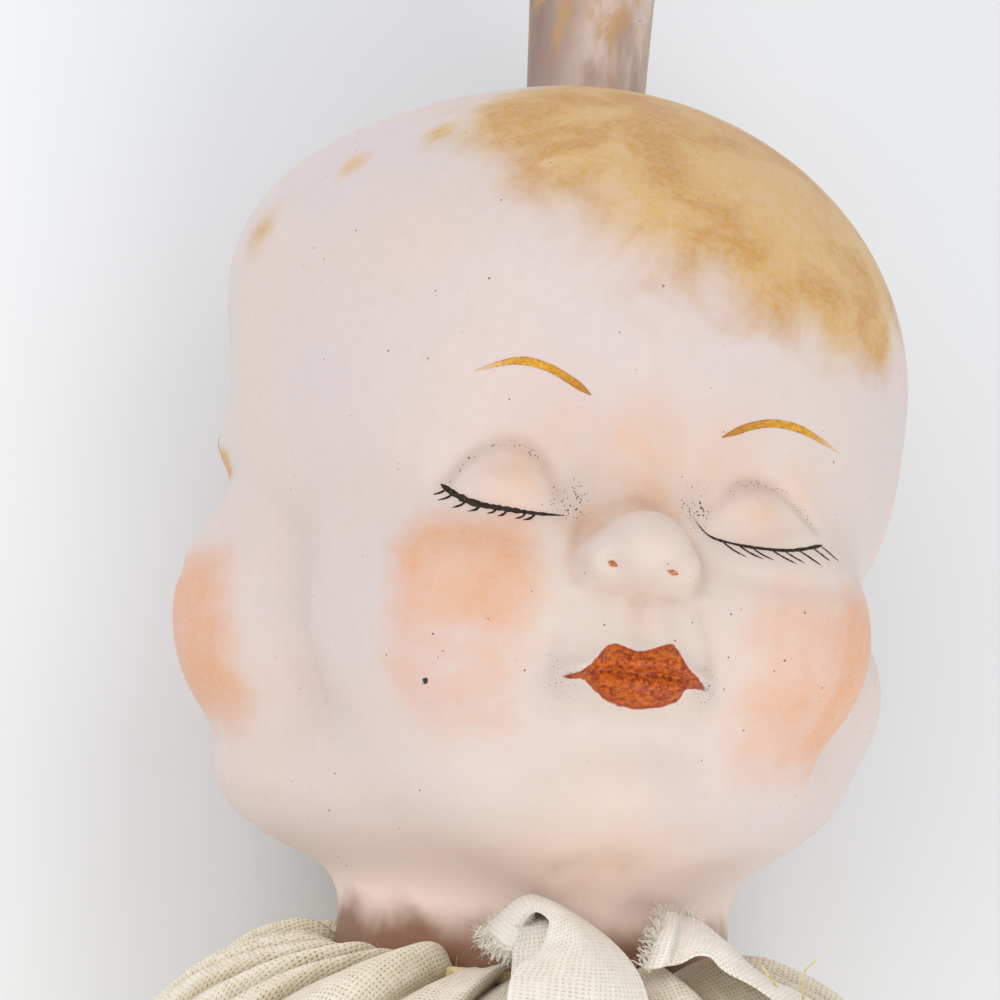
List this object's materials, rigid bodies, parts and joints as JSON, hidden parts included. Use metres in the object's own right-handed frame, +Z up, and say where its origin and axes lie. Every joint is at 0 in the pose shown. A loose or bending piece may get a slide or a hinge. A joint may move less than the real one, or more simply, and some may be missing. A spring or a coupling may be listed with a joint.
{
  "type": "doll head rattle",
  "caption": "Stick rattle with a turning three-faced doll head, a rattle box under a gathered muslin robe, and a turned handle.",
  "frame": {"origin": "middle of the bounding box on the table that the toy lies on", "axes": "+Y along the toy from the handle to the knob on the crown, +Z up out of the table and out of the sleeping face"},
  "size_m": [0.102, 0.2821, 0.0805],
  "materials": {
    "bisque": "unglazed, tinted, softly matte",
    "knob_bisque": "unglazed, soiled by handling",
    "spindle_steel": "drawn wire",
    "washer_brass": "dull",
    "felt": "pressed wool felt",
    "box_wood": "bare turned lime wood",
    "handle_wood": "turned beech, waxed",
    "clay_pellet": "fired clay",
    "wadding": "carded cotton",
    "thread": "twisted cotton",
    "muslin": "open plain weave, unbleached"
  },
  "bodies": {
    "rattle_body": {"drum_lid": "box_wood", "drum_cup": "box_wood", "lid_tacks": "washer_brass", "handle": "handle_wood", "bearing_felt": "felt", "drum_wadding": "wadding", "gathering_thread": "thread", "muslin_robe": "muslin", "throat_flap_front": "muslin", "throat_flap_side": "muslin"},
    "head": {"head_shell": "bisque", "turning_knob": "knob_bisque", "neck_plug": "box_wood", "spindle": "spindle_steel", "retaining_pin": "spindle_steel", "spindle_washer": "washer_brass"},
    "upper_pellets": {"pellet_1": "clay_pellet", "pellet_2": "clay_pellet", "pellet_3": "clay_pellet"},
    "lower_pellets": {"pellet_4": "clay_pellet", "pellet_5": "clay_pellet", "pellet_6": "clay_pellet"}
  },
  "joints": [
    {"name": "head_turn", "type": "hinge", "parent": "rattle_body", "child": "head", "pos_m": [0, 0.029, 0.0375], "axis": [0, 1, 0], "continuous": true},
    {"name": "pellet_roll", "type": "hinge", "parent": "rattle_body", "child": "upper_pellets", "pos_m": [0, -0.002, 0.0375], "axis": [0, 1, 0], "continuous": true},
    {"name": "pellet_hop", "type": "slide", "parent": "rattle_body", "child": "lower_pellets", "axis": [0, 0, 1], "range_m": [0, 0.0435]}
  ]
}
